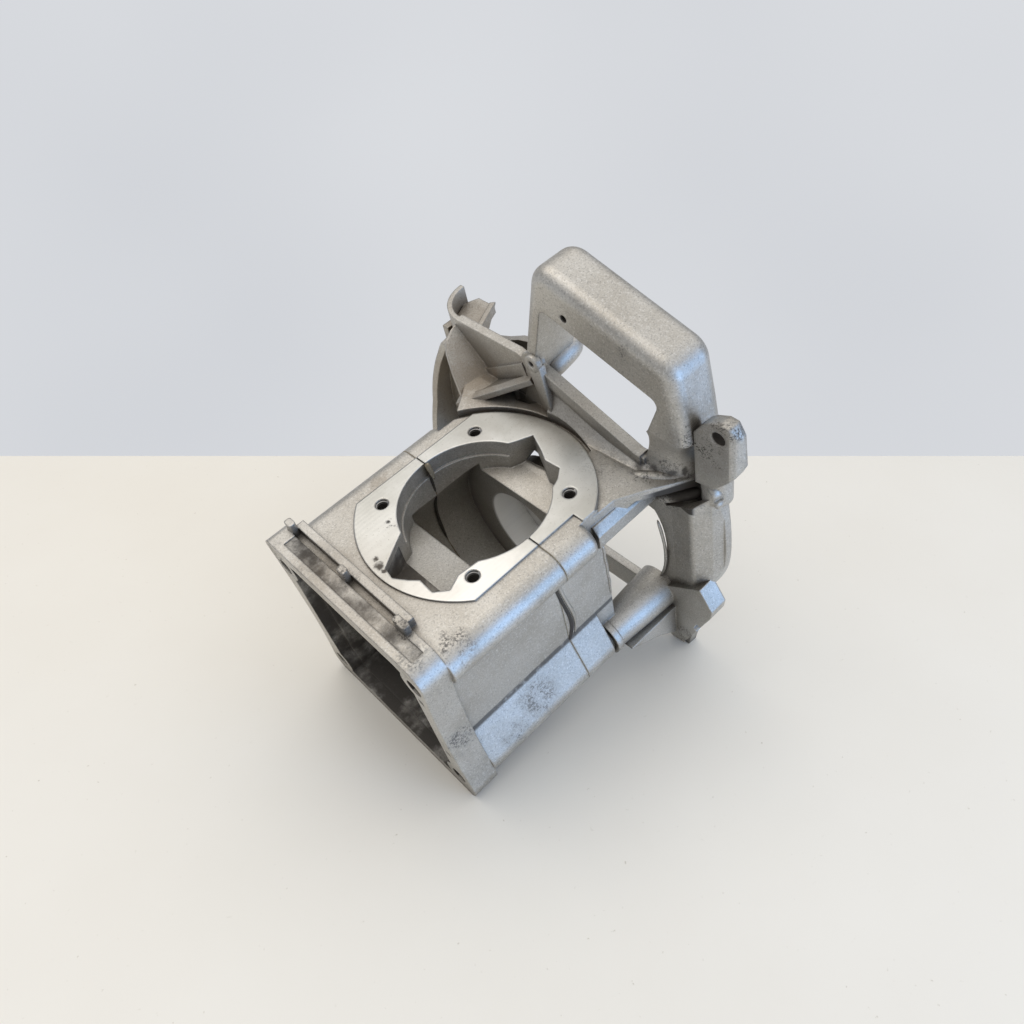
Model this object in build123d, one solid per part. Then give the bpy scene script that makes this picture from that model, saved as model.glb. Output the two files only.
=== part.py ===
from build123d import *
import os
from math import cos, pi, sin

# Two-piece light alloy crankcase of a small single-cylinder engine.
# Origin: middle of the cylinder opening, on the machined face that the cylinder
# stands on. +Z is the cylinder axis, +X runs along the crankshaft towards the
# fan end, and +Y is the far side. All lengths are in millimetres.

os.makedirs("parts", exist_ok=True)

# Crankshaft line and the joint between the halves
CRANK_Z = -46.0            # crankshaft axis below the cylinder face
GASKET_T = 0.5             # joint gasket, centred on X = 0
SPLIT_X = GASKET_T / 2

# Cylinder face
BORE_R = 33.4              # cylinder spigot opening
LEDGE_R = 34.4             # wider mouth above the ledge in the opening
LEDGE_Z = -8.0
DISC_R = 53.7              # machined disc round the opening
DISC_Y = 40.5              # the disc is cut off straight at its two sides
DISC_STEP = 20.5           # the near straight side ends here
DECK_Z = -1.0              # cast deck, a little below the machined disc
GROOVE_W = 2.5             # shallow groove round the rear of the disc
GROOVE_DEPTH = 2.0
STUD_X = 28.0              # half spacing of the cylinder screws along X
STUD_Y = 30.85             # half spacing along Y
STUD_R = 3.0               # M6 thread
STUD_DEPTH = 14.0
STUD_CHAMFER = 0.4

# Crank chamber and the drum round it
CHAMBER_R = 41.5
CHAMBER_FRONT = -18.0
CHAMBER_REAR = 22.0
WALL_Y = 46.0              # outer side walls, also the drum radius
DRUM_REAR = 29.0           # rear face of the crank drum
FRONT_FLOOR_Z = -20.0      # scooped floor of the front recesses at the chamber
REAR_FLOOR_Z = -17.0
SCOOP_Z = -15.0            # where the floors turn up

# Clamp bolt tubes at the four corners
TUBE_Y = 46.0
TUBE_TOP_Z = -10.0
TUBE_BOTTOM_Z = -88.0
TUBE_R = 9.0
BOLT_R = 4.25              # clearance for M8
THREAD_R = 4.0             # M8 thread in the rear half
THREAD_END = 15.0
TUBE_TOP_END = 20.0        # rear end of the two upper tubes
TUBE_END_R = 3.0
SHOULDER_Z = -66.0         # where the lower tube's sloping shoulder leaves the wall
SHOULDER_R = 3.0
COLLAR_X = 18.0            # narrow groove and collar on the lower tubes
COLLAR_GAP = 2.0
COLLAR_W = 3.5
COLLAR_R = 10.0
LEG_R = 11.5               # lower tubes where they meet the fan frame

# Front flange and the open box behind it
FLANGE_FRONT = -75.0
FLANGE_T = 13.5
FLANGE_NEAR_Y = 55.0       # near top corner
FLANGE_FAR_Y = 58.0        # far top corner and both lower ones
FLANGE_TOP = 3.0
FLANGE_BOTTOM = -103.0
FLANGE_WAIST = 5.0         # how far the flange sides bow inwards
FLANGE_CORNER_R = 10.0
RIDGE_W = 4.0              # light strips in front of and behind the sunk band
BAND_DEPTH = 0.6
SLOT_W = 3.5
SLOT_DEPTH = 3.0
POST_H = 4.5               # three stub posts on the rear strip
POST_W = 5.0
BOX_WALL = 6.0
BOX_BACK = -38.0           # floor of the open box
BOX_BOTTOM = -97.0
LIP_DEPTH = 6.0
LIP_STEP = 3.0
RIB_T = 3.5
RIB_FRONT = -58.0

# Bearing and seal seats, the same at both ends
SEAT_R = 23.5              # for a bearing of 47 mm outside diameter
SEAT_W = 14.0
SEAT_SINK = 2.0            # bearing face below the chamber wall
SEAT_MOUTH = 0.8           # chamfer at the mouth of the bearing seat
LIP_R = 15.5               # shoulder between the bearing and the seal
LIP_T = 2.5
SEAL_R = 17.5              # for a seal of 35 mm outside diameter
SEAL_W = 7.0
HUB_R = 29.0
HUB_RIM = 1.5

# Locating sleeves in two of the tubes
SLEEVE_R = 6.0
SLEEVE_L = 12.0
SLEEVE_CLEAR = 0.01

# Deck behind the cylinder
APRON_END = 62.0
APRON_NEAR_Z = -3.0        # height of the deck at its near edge
APRON_FAR_Z = 1.5          # and at its far edge
APRON_DROP = 3.0           # fall from the cylinder towards the fan frame
APRON_T = 6.0
LIP_PATH = ((24, -46), (38, -46.6), (48, -52), (59, -58.3), (70, -64), (76, -66))
LIP_H = 5.0                # thickness of the deck at its near lip

# Fan frame
WALL_X = 60.0              # front of the fan frame's wall
WALL_T = 4.5
EYE_NEAR = -52.0           # opening in the fan frame's wall
EYE_FAR = 62.0
EYE_TOP = -24.0
EYE_LOW = -93.0
EYE_CORNER = 14.0
ARCH_Y = -68.8             # upright corner of the near arch
ARCH_T = 4.0
ARCH_REAR = 76.0
ARCH_LOW = -96.0
FOOT_T = 10.0
FOOT_REAR = 71.0
FOOT_Z = -137.0
CROWN_Z = 25.0             # top of the far wall
CROWN_Y = 92.0
CROWN_REAR = 82.0
CROWN_R = 20.0
CROWN_T = 2.6
SKIN_R = 95.0              # curved outer skin on the far side
SKIN_T = 4.0
SKIN_Y = 6.0               # its centre, a little off the crank axis
RIB_TOP = 14.0             # slanting rib from the fin down to the deck's far corner
RIB_W = 5.0
RIB_H = 3.0

# Carrying handle, drawn upright and then leaned over
LEAN = 17.0
HANDLE_FRONT = 59.0
HANDLE_REAR = 84.0
HANDLE_LEFT = 32.0
HANDLE_TOP = 76.0
WINDOW_LEFT = 23.0
WINDOW_RIGHT = -42.0
WINDOW_TOP = 56.0
WINDOW_LOW = 15.0
EDGE_R = 6.5
LEG_TOP = 22.0             # height where the near leg begins to round off
LEG_BASE = 2.0
LEG_FOOT = -7.0            # sunk into the deck
PIN_R = 1.8                # small hole in the handle's front face

# Ear beside the handle
EAR_FRONT = 64.0
EAR_T = 6.5
EAR_Y = -81.0
EAR_Z = 33.0
EAR_HOLE_R = 3.3


def along_x(x0, x1, outline):
    """Outline drawn in (Y, Z), carried from x0 to x1."""
    return extrude(Plane.YZ.offset(x0) * outline, amount=x1 - x0)


def along_y(y0, y1, outline):
    """Outline drawn in (X, Z), carried from y0 to y1."""
    plane = Plane(origin=(0, y0, 0), x_dir=(1, 0, 0), z_dir=(0, -1, 0))
    return extrude(plane * outline, amount=y0 - y1)


def along_z(z0, z1, outline):
    """Outline drawn in (X, Y), carried from z0 to z1."""
    return extrude(Plane.XY.offset(z0) * outline, amount=z1 - z0)


def rod(x0, x1, y, z, r):
    return along_x(x0, x1, Pos(y, z) * Circle(r))


def box(x0, x1, y0, y1, z0, z1):
    centre = ((x0 + x1) / 2, (y0 + y1) / 2, (z0 + z1) / 2)
    return Pos(*centre) * Box(abs(x1 - x0), abs(y1 - y0), abs(z1 - z0))


def patch(*points):
    return make_face(Polyline(*points, close=True))


def four_tubes():
    for side in (-1, 1):
        for z in (TUBE_TOP_Z, TUBE_BOTTOM_Z):
            yield side * TUBE_Y, z


def lower_shoulder(side):
    """Section of a lower tube with the sloping shoulder above it."""
    blend = Pos(side * (WALL_Y - SHOULDER_R), SHOULDER_Z) * Circle(SHOULDER_R)
    tube = Pos(side * TUBE_Y, TUBE_BOTTOM_Z) * Circle(TUBE_R)
    return make_hull((blend + tube).edges())


def drum_section():
    """Outline of the crank drum up to the deck, seen along the crankshaft."""
    height = DECK_Z - CRANK_Z
    section = Pos(0, CRANK_Z) * Circle(WALL_Y)
    section += Pos(0, CRANK_Z + height / 2) * Rectangle(2 * WALL_Y, height)
    return section


def side_webs():
    """Walls that carry the lower tubes below the drum."""
    drop = CRANK_Z - TUBE_BOTTOM_Z
    webs = []
    for side in (-1, 1):
        middle = Pos(side * (WALL_Y - BOX_WALL / 2), CRANK_Z - drop / 2)
        webs.append(middle * Rectangle(BOX_WALL, drop) + lower_shoulder(side))
    return webs[0] + webs[1]


def upper_tubes():
    return [Pos(side * TUBE_Y, TUBE_TOP_Z) * Circle(TUBE_R) for side in (-1, 1)]


def flange_outline():
    """Front flange with rounded corners and sides bowed inwards."""
    top, bottom = FLANGE_TOP, FLANGE_BOTTOM
    mid = (top + bottom) / 2
    low_y = FLANGE_FAR_Y
    near, far = FLANGE_NEAR_Y, FLANGE_FAR_Y
    waist = near - FLANGE_WAIST
    edges = Line((-near, top), (far, top))
    edges += ThreePointArc((far, top), (waist, mid), (low_y, bottom))
    edges += Line((low_y, bottom), (-low_y, bottom))
    edges += ThreePointArc((-low_y, bottom), (-waist, mid), (-near, top))
    face = make_face(edges)
    far_top = face.vertices().sort_by(Axis.Y)[-2:].sort_by(Axis.X)[-1]
    face = fillet(far_top, FLANGE_CORNER_R / 2)
    rest = [v for v in face.vertices() if abs(v.Y - top) < 0.01 and v.X < 0 or abs(v.Y - bottom) < 0.01]
    return fillet(rest, FLANGE_CORNER_R)


def opening_front():
    """Front pair of transfer recesses in the cylinder face."""
    return patch((-12, 28), (-30.5, 12.2), (-38.6, 7.6), (-49, 1.3), (-50.3, -5.2), (-46.6, -11.3),
                 (-43.4, -15.3), (-44, -23.9), (-38.6, -28.9), (-31.6, -25.8), (-12, -28))


def opening_rear():
    """Rear pair of transfer recesses in the cylinder face."""
    return patch((12, 28), (28.3, 14.5), (35.4, 10.4), (42.7, 6.8), (38.3, -3), (35.1, -8.8),
                 (35.6, -17.3), (30.6, -21.1), (12, -28))


def scoop(chamber_x, floor_z, reach):
    """Floor of a recess: out from the chamber wall, then curving up to the face."""
    turn_x = chamber_x + (reach - chamber_x) * 0.6
    low = CRANK_Z
    floor = Polyline((chamber_x, floor_z), (turn_x, SCOOP_Z))
    rise = ThreePointArc((turn_x, SCOOP_Z), ((turn_x + 3 * reach) / 4, SCOOP_Z * 0.7), (reach, -2))
    rest = Polyline((reach, -2), (reach * 1.3, -2), (reach * 1.3, low), (chamber_x, low),
                    (chamber_x, floor_z))
    return along_y(-DISC_R, DISC_R, make_face(floor + rise + rest))


def opening_cutter():
    """All that is taken out from above: bore, ledge, recesses and their floors."""
    top = 1.0
    bore = along_z(CRANK_Z, top, Circle(BORE_R)) + along_z(LEDGE_Z, top, Circle(LEDGE_R))
    lobes = along_z(CRANK_Z, top, opening_front()) + along_z(CRANK_Z, top, opening_rear())
    floors = scoop(CHAMBER_FRONT, FRONT_FLOOR_Z, -50) + scoop(CHAMBER_REAR, REAR_FLOOR_Z, 43.5)
    return bore + lobes - floors


def stud_holes():
    holes = []
    for x in (-STUD_X, STUD_X):
        for y in (-STUD_Y, STUD_Y):
            hole = along_z(-STUD_DEPTH, 1, Pos(x, y) * Circle(STUD_R))
            rim_r = STUD_R + STUD_CHAMFER
            mouth = Pos(x, y, -STUD_CHAMFER / 2) * Cone(STUD_R, rim_r, STUD_CHAMFER)
            holes.append(hole + mouth)
    return holes


def bearing_seat(direction):
    """Bearing seat, shoulder and seal seat, cut outwards from the chamber wall."""
    wall = CHAMBER_REAR if direction > 0 else CHAMBER_FRONT
    shoulder = wall + direction * (SEAT_SINK + SEAT_W)
    seal = shoulder + direction * LIP_T
    spans = ((wall - direction, shoulder, SEAT_R), (shoulder, seal, LIP_R),
             (seal, seal + direction * (SEAL_W + 5), SEAL_R))
    cut = Part()
    for start, end, radius in spans:
        cut += rod(*sorted((start, end)), 0, CRANK_Z, radius)
    mouth = Pos(wall + direction * SEAT_MOUTH / 2, 0, CRANK_Z) * Rot(0, -90 * direction, 0)
    return cut + mouth * Cone(SEAT_R, SEAT_R + SEAT_MOUTH, SEAT_MOUTH)


def hub(direction):
    """Round hub that carries a bearing and its seal, standing out from the drum."""
    wall = CHAMBER_REAR if direction > 0 else CHAMBER_FRONT
    end = wall + direction * (SEAT_SINK + SEAT_W + LIP_T + SEAL_W)
    a, b = sorted((wall, end))
    body = rod(a, b, 0, CRANK_Z, HUB_R)
    outer = body.edges().filter_by(GeomType.CIRCLE).sort_by(Axis.X)[-1 if direction > 0 else 0]
    return chamfer(outer, HUB_RIM)


def front_flange():
    """Flange plate with its sunk band, slot, rear strip and three posts."""
    back = FLANGE_FRONT + FLANGE_T
    plate = along_x(FLANGE_FRONT, back, flange_outline())
    flat = FLANGE_NEAR_Y - FLANGE_CORNER_R
    band_end = back - SLOT_W
    plate -= box(FLANGE_FRONT + RIDGE_W, band_end, -flat, flat, FLANGE_TOP - BAND_DEPTH, FLANGE_TOP + 1)
    plate -= box(band_end, back, -flat + 15, flat + 2, FLANGE_TOP - SLOT_DEPTH, FLANGE_TOP + 1)
    plate += box(back, back + RIDGE_W, -flat + 15, flat + 4, DECK_Z - 1, FLANGE_TOP + 0.5)
    for y, width in ((flat + 4, POST_W), (9, POST_W), (-flat + 14.5, POST_W + 3)):
        post = box(band_end, back, y - width / 2, y + width / 2, DECK_Z - 1, FLANGE_TOP + POST_H)
        plate += fillet(post.edges().filter_by(Axis.Z), 1.2)
    return plate


def box_cavity():
    """Space inside the open box: a lip at the mouth, then walls clear of the tubes."""
    inner_y = WALL_Y - BOX_WALL
    top = DECK_Z - BOX_WALL
    bottom = BOX_BOTTOM + BOX_WALL
    size = (2 * inner_y, top - bottom)
    centre = Pos(0, (top + bottom) / 2)
    room = centre * RectangleRounded(*size, 6)
    mouth = centre * RectangleRounded(size[0] + 2 * LIP_STEP, size[1] + 2 * LIP_STEP, 8)
    for y, z in four_tubes():
        room -= Pos(y, z) * Circle(TUBE_R)
        mouth -= Pos(y, z) * Circle(TUBE_R - 1)
    cut = along_x(FLANGE_FRONT + LIP_DEPTH, BOX_BACK, room)
    cut += along_x(FLANGE_FRONT - 1, FLANGE_FRONT + LIP_DEPTH, mouth)
    under_x = -54.0
    under = FRONT_FLOOR_Z - 4
    cover = patch((under_x - 6, top + 1), (under_x, SCOOP_Z - 4), (BOX_BACK, under), (BOX_BACK, top + 1))
    return cut - along_y(-WALL_Y, WALL_Y, cover)


def box_ribs():
    """Ribs from the hub to the walls of the open box."""
    ribs = []
    mid_z = (DECK_Z + BOX_BOTTOM) / 2
    for angle in (35, 145, 215, 270, 325):
        reach = 60.0
        spoke = Pos(0, CRANK_Z) * Rot(0, 0, angle) * Pos(HUB_R - 2 + reach / 2, 0) * Rectangle(reach, RIB_T)
        frame = Pos(0, mid_z) * Rectangle(2 * WALL_Y - BOX_WALL, DECK_Z - BOX_BOTTOM - BOX_WALL)
        ribs.append(along_x(RIB_FRONT, BOX_BACK, spoke & frame))
    return ribs


def disc():
    """Machined disc, cut straight at the sides."""
    return Circle(DISC_R) & Rectangle(2 * DISC_R, 2 * DISC_Y)


def front_half():
    """Front casting: flange, open box, front hub and the front of the drum."""
    back = FLANGE_FRONT + FLANGE_T
    body = front_flange()
    body += along_x(BOX_BACK, -SPLIT_X, drum_section())
    body += along_x(back, -SPLIT_X, side_webs())
    height = DECK_Z - BOX_BOTTOM
    shell = Pos(0, BOX_BOTTOM + height / 2) * Rectangle(2 * WALL_Y, height)
    body += along_x(back, BOX_BACK + BOX_WALL, shell)
    for tube in upper_tubes():
        body += along_x(back, -SPLIT_X, tube)
    body -= box_cavity()
    for rib in box_ribs():
        body += rib
    body += hub(-1)
    body += along_z(DECK_Z - 0.5, 0, disc()) & box(-DISC_R, -SPLIT_X, -DISC_R, DISC_R, -5, 0)
    body -= rod(CHAMBER_FRONT, 1, 0, CRANK_Z, CHAMBER_R)
    body -= bearing_seat(-1)
    body -= opening_cutter()
    for hole in stud_holes():
        body -= hole
    for y, z in four_tubes():
        body -= rod(FLANGE_FRONT - 1, 1, y, z, BOLT_R)
    for y, z in sleeve_places():
        body -= rod(-SLEEVE_L / 2, 1, y, z, SLEEVE_R + SLEEVE_CLEAR)
    return body


def sleeve_places():
    return ((-TUBE_Y, TUBE_TOP_Z), (TUBE_Y, TUBE_BOTTOM_Z))


def leaned(shape):
    return Rot(LEAN, 0, 0) * shape


def handle():
    """D-shaped carrying handle with rounded outer edges."""
    outline = patch((HANDLE_LEFT, 8), (HANDLE_LEFT, HANDLE_TOP), (-43, HANDLE_TOP), (-54, 53),
                    (-63, 33), (-63, 6), (-40, 2))
    tops = outline.vertices().filter_by(lambda v: v.Y > 30)
    outline = fillet(tops, 11)
    loop = along_x(HANDLE_FRONT, HANDLE_REAR, outline)
    rims = loop.faces().filter_by(Axis.X).edges()
    loop = fillet(rims, EDGE_R)
    window = patch((WINDOW_LEFT, WINDOW_LOW + 3), (WINDOW_LEFT, WINDOW_TOP), (WINDOW_RIGHT, WINDOW_TOP),
                   (WINDOW_RIGHT + 2, 32), (WINDOW_RIGHT, WINDOW_LOW))
    window = fillet(window.vertices(), 4)
    loop -= along_x(HANDLE_FRONT - 1, HANDLE_REAR + 1, window)
    loop -= along_x(HANDLE_FRONT - 1, HANDLE_FRONT + 8, Pos(10, 61) * Circle(PIN_R))
    sill = patch((WINDOW_LEFT, WINDOW_LOW + 8), (WINDOW_LEFT, -15), (WINDOW_RIGHT, -15), (WINDOW_RIGHT, WINDOW_LOW + 5))
    loop -= along_x(WALL_X + WALL_T, HANDLE_REAR + 1, sill)
    loop = leaned(loop) - box(HANDLE_FRONT - 1, HANDLE_REAR + 1, -80, -43, -40, LEG_TOP)
    loop -= box(WALL_X + WALL_T, HANDLE_REAR + 1, -80, -36, -40, LEG_BASE + 4)
    return loop + near_leg()


def near_leg():
    """Base of the handle's near leg, rounding off into the deck."""
    rear = HANDLE_REAR
    sections = []
    for z, points in ((LEG_TOP, ((59, -48.4), (59, -58), (60.7, -66.3), (66, -69), (rear - 4, -69))),
                      (LEG_BASE, ((61.8, -44), (62.6, -50), (66.3, -57.3), (74, -62), (rear - 1, -63.5))),
                      (LEG_FOOT, ((58.5, -41.2), (59.8, -50.5), (63.8, -58), (72.5, -64), (rear, -65)))):
        front = Spline(*points)
        rest = Line(points[-1], (rear, points[0][1])) + Line((rear, points[0][1]), points[0])
        sections.append(Plane.XY.offset(z) * make_face(front + rest))
    return loft(sections)


def near_arch():
    """Near part of the fan ring: an angled upright strip, hollow and open at the top."""
    back = WALL_X + ARCH_T
    plan = patch((WALL_X, -42), (WALL_X + 1.5, -57), (WALL_X + 1.2, -62), (WALL_X, ARCH_Y), (ARCH_REAR - 9, -75),
                 (ARCH_REAR, -79), (ARCH_REAR, -79 + ARCH_T), (ARCH_REAR - 8, -71), (back + 1, ARCH_Y + 3),
                 (back, -42))
    bend = plan.vertices().sort_by_distance((WALL_X, ARCH_Y))[0]
    plan = fillet(bend, 3)
    upright = along_z(ARCH_LOW, 0, plan)
    side = Spline((-75.5, -8), (-77.9, -32), (-78.2, -47), (-76.8, -62), (-72.2, -76), (-66, -88))
    rest = Polyline((-66, -88), (-60, ARCH_LOW), (-42, ARCH_LOW))
    inner = Spline((-42, ARCH_LOW), (-49.6, -74), (-52.6, -56), (-50.6, -37), (-47.4, -29.7))
    top = Polyline((-47.4, -29.7), (-43, -28), (-43, -18), (-50, -18), (-54, -22.5), (ARCH_Y, -13.9), (-75.5, -8))
    strip = upright & along_x(WALL_X - 1, ARCH_REAR + 1, make_face(side + rest + inner + top))
    rear_top = Polyline((-47.4, -29.7), (-36, -32), (-36, -8), (-75.5, -8))
    closing = along_x(ARCH_REAR - ARCH_T, ARCH_REAR, make_face(side + rest + inner + rear_top))
    return strip + closing


def foot(side):
    """Foot of the fan frame, with a gusset that runs forward under the lower tube."""
    front = WALL_X - 2
    outline = patch((48 * side, -84), (74 * side, -66), (81 * side, -78), (80 * side, -84), (73.5 * side, -98),
                    (71 * side, -97), (69 * side, -103), (71 * side, -104), (62 * side, -122.7), (55 * side, -123.6),
                    (44 * side, -118), (34 * side, -104))
    plate = along_x(front, front + FOOT_T, outline)
    tip = patch((66 * side, -100), (64 * side, -114), (59 * side, FOOT_Z), (50 * side, FOOT_Z), (44 * side, -118),
                (40 * side, -100))
    tip = along_x(FOOT_REAR - 6, FOOT_REAR, tip)
    gusset = patch((26, -94), (46, -106), (60, -118), (60, -94))
    return plate + tip + along_y(side * 52, side * 58, gusset)


def deck_surface(x0, x1, y):
    """The deck's section from x0 to x1 at the side y, in (X, Z)."""
    share = (y + WALL_Y) / (2 * WALL_Y)
    top = APRON_NEAR_Z + (APRON_FAR_Z - APRON_NEAR_Z) * share
    low = REAR_FLOOR_Z - APRON_T
    end = top - APRON_DROP
    return Plane(origin=(0, y, 0), x_dir=(1, 0, 0), z_dir=(0, -1, 0)) * patch(
        (x0, top), (DISC_R, top), (x1, end), (x1, end - LIP_H), (46, top - LIP_H), (DRUM_REAR, low), (x0, low))


def apron():
    """Deck that runs back from the cylinder face to the fan frame, with its near lip."""
    plan = patch(*LIP_PATH, (82, -70), (82, -44), (APRON_END, -36), (APRON_END, 62), (44, 56), (30, WALL_Y),
                 (24, WALL_Y))
    limits = along_z(-40, 10, plan)
    deck = loft([deck_surface(20, 84, 70), deck_surface(20, 84, -72)])
    wall_foot = loft([rise_section(10, -2, 17), rise_section(-50, -4, -2.6)])
    return (deck & limits) + wall_foot


def rise_section(y, low, high):
    """Hollow curve from the deck up to the fan frame's wall, drawn at the side y."""
    height = high - low
    start = (WALL_X - 4.4 - height * 0.35, low)
    end = (WALL_X + 1, high)
    curve = ThreePointArc(start, (WALL_X - 1.2 - height * 0.1, low + height * 0.35), end)
    rest = Polyline(end, (WALL_X + 1, -8), (start[0], -8), start)
    return Plane(origin=(0, y, 0), x_dir=(1, 0, 0), z_dir=(0, -1, 0)) * make_face(curve + rest)


def slant_rib():
    """Slanting rib that bridges the sunk corner of the deck."""
    start = Vector(WALL_X - 1, 20, RIB_TOP + 1)
    end = Vector(39, 56, -4)
    way = end - start
    plane = Plane(origin=start, x_dir=(way.Y, -way.X, 0), z_dir=way)
    return extrude(plane * (Pos(0, 0) * Rectangle(RIB_W, RIB_H)), amount=way.length)


def sunk_corner():
    """Deep pocket of the deck beneath the slanting rib."""
    return along_z(-16, 0.6, patch((49, 38.5), (53, 32), (56, 23), (WALL_X - 0.5, 21), (WALL_X - 0.5, 34), (54, 40)))


def far_web():
    """Gusset from the deck's far corner up to the crown of the far wall."""
    top = Vector(WALL_X, 75.6, 20.4)
    low = Vector(WALL_X, 52.2, -2.7)
    tip = Vector(40, 55, -3)
    plane = Plane(origin=low, x_dir=(tip - low), z_dir=(tip - low).cross(top - low))
    rim = ((57, 75.1, 19.5), (51.4, 73.3, 16.8), (48.1, 70.2, 13.3), (44.6, 63.9, 6.5), (41, 55.9, -2),
           (39.5, 54.2, -3.9), (60, 50.5, -4.4), (61, 55, 0), (61, 58, 3), (61, 63.5, 8.5), (61, 70, 14.5),
           (61, 75.6, 20.5))
    flat = [plane.to_local_coords(Vector(*p)) for p in rim]
    face = patch(*[(p.X, p.Y) for p in flat])
    return extrude(plane * face, amount=1.7, both=True)


def far_skin():
    """Curved outer skin on the far side, forward of the fan frame's wall."""
    ring = rod(40, WALL_X + 2, SKIN_Y, CRANK_Z, SKIN_R) - rod(39, WALL_X + 3, SKIN_Y, CRANK_Z, SKIN_R - SKIN_T)
    edge = patch((54, 10), (54, 2), (52, -13), (49, -34), (43, -54), (43, -60), (WALL_X + 2, -60), (WALL_X + 2, 15))
    return ring & along_y(SKIN_R + 10, 60, edge)


def fan_wall():
    """Front wall of the fan frame, with its opening, from foot to crown."""
    back = WALL_X + WALL_T
    corner_y = CROWN_Y - CROWN_R
    outline = patch((-44.5, -20), (-44.5, 2.1), (17.6, 21), (30, CROWN_Z), (corner_y + 1, CROWN_Z),
                    (corner_y + 6, 12), (90, -72), (80, -84), (60, -108), (-48, -108), (-62, -94), (-44.5, -80))
    wall = along_x(WALL_X, back, outline)
    wall += rod(WALL_X, back, SKIN_Y, CRANK_Z, SKIN_R) & box(WALL_X - 1, back + 1, 60, SKIN_Y + SKIN_R, -72, 16)
    middle = ((EYE_NEAR + EYE_FAR) / 2, (EYE_TOP + EYE_LOW) / 2)
    eye = Pos(*middle) * RectangleRounded(EYE_FAR - EYE_NEAR, EYE_TOP - EYE_LOW, EYE_CORNER)
    step = along_x(WALL_X - 1.4, WALL_X, patch((59.2, 1.4), (25.8, 21.7), (22, 10), (52, -8)))
    return wall + step - along_x(WALL_X - 1, back + 1, eye)


def crown():
    """Rounded far corner of the fan frame with the bracket behind it."""
    def bend(gap):
        edge = Polyline((WALL_X + gap, 40), (WALL_X + gap, CROWN_Y - CROWN_R))
        edge += RadiusArc((WALL_X + gap, CROWN_Y - CROWN_R), (WALL_X + CROWN_R, CROWN_Y - gap), CROWN_R - gap)
        return edge
    outer, inner = bend(0), bend(CROWN_T)
    ends = Line((WALL_X + CROWN_R, CROWN_Y), (WALL_X + CROWN_R, CROWN_Y - CROWN_T))
    ends += Line((WALL_X, 40), (WALL_X + CROWN_T, 40))
    shell = along_z(-30, CROWN_Z, make_face(outer + inner + ends))
    shell &= along_x(WALL_X - 1, CROWN_REAR + 2, patch((38, 27), (84, 27), (CROWN_Y + 1, 27), (CROWN_Y + 1, 15),
                                                       (84, 9), (80, -10), (38, -20)))
    floor = along_z(12, 16, patch((WALL_X + 1, 64), (85, 74.6), (85, 86.5), (78, 89.5), (WALL_X + 6, 84)))
    fin = along_z(2, 18, patch((WALL_X + 1, 62), (WALL_X + 1, 65), (84, 76.5), (86, 74.5)))
    fin &= along_y(90, 60, patch((WALL_X, 20), (86, 19), (86, 17), (73, 10), (WALL_X, 10)))
    back = along_x(74, 78, patch((30, 20), (45.4, 15.6), (56.8, 9.9), (66.6, 6.1), (71.3, 5.3), (80, 6.5), (88, 13),
                                 (88, -20), (30, -20)))
    link = box(WALL_X + 1, 78, 84, 88, -20, 14)
    return shell + floor + fin + back + link


def rear_tongue():
    """Pointed lug that stands behind the handle's far leg."""
    outline = patch((40, 19), (30.6, 20.6), (20, 16), (20, 12), (40, -10))
    tongue = along_x(HANDLE_REAR - 4, HANDLE_REAR + 8, outline)
    tip = tongue.edges().filter_by(Axis.X).sort_by(Axis.Y)[:2]
    return fillet(tip, 1.5)


def ear():
    """Lug beside the handle, with a cross hole, and the round corner below it."""
    rear = EAR_FRONT + EAR_T
    outline = patch((-69, 1), (-69, 30), (-73, 35.5), (-76, 38), (-82, 40.8), (-86, 40.5), (-89, 35), (-90, 19),
                    (-88, 14), (-84, 9), (-78, 2))
    plan = patch((EAR_FRONT, -60), (EAR_FRONT, -86), (EAR_FRONT + 1.5, -88), (rear, -90), (rear, -60))
    lug = along_x(EAR_FRONT - 1, rear + 1, outline) & along_z(-10, 45, plan)
    corner = along_z(-13, 4.5, Pos(73, -73) * Circle(6.8))
    corner = fillet(corner.edges().filter_by(GeomType.CIRCLE).sort_by(Axis.Z)[-1], 2.5)
    return lug + corner - rod(EAR_FRONT - 2, rear + 2, EAR_Y, EAR_Z, EAR_HOLE_R)


def boss_fin():
    """Small drilled boss on an upright fin, with the slanting rib beside it."""
    fin = patch((12.5, -4), (12.5, 22), (24, 22), (24, 12), (30, -4))
    body = along_x(WALL_X - 1, WALL_X + 1, fin)
    body += rod(WALL_X - 1, WALL_X + 1, 18.8, 23.8, 6.6)
    return body - rod(WALL_X - 5, WALL_X + 8, 18.8, 23.8, 1.7)


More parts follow.
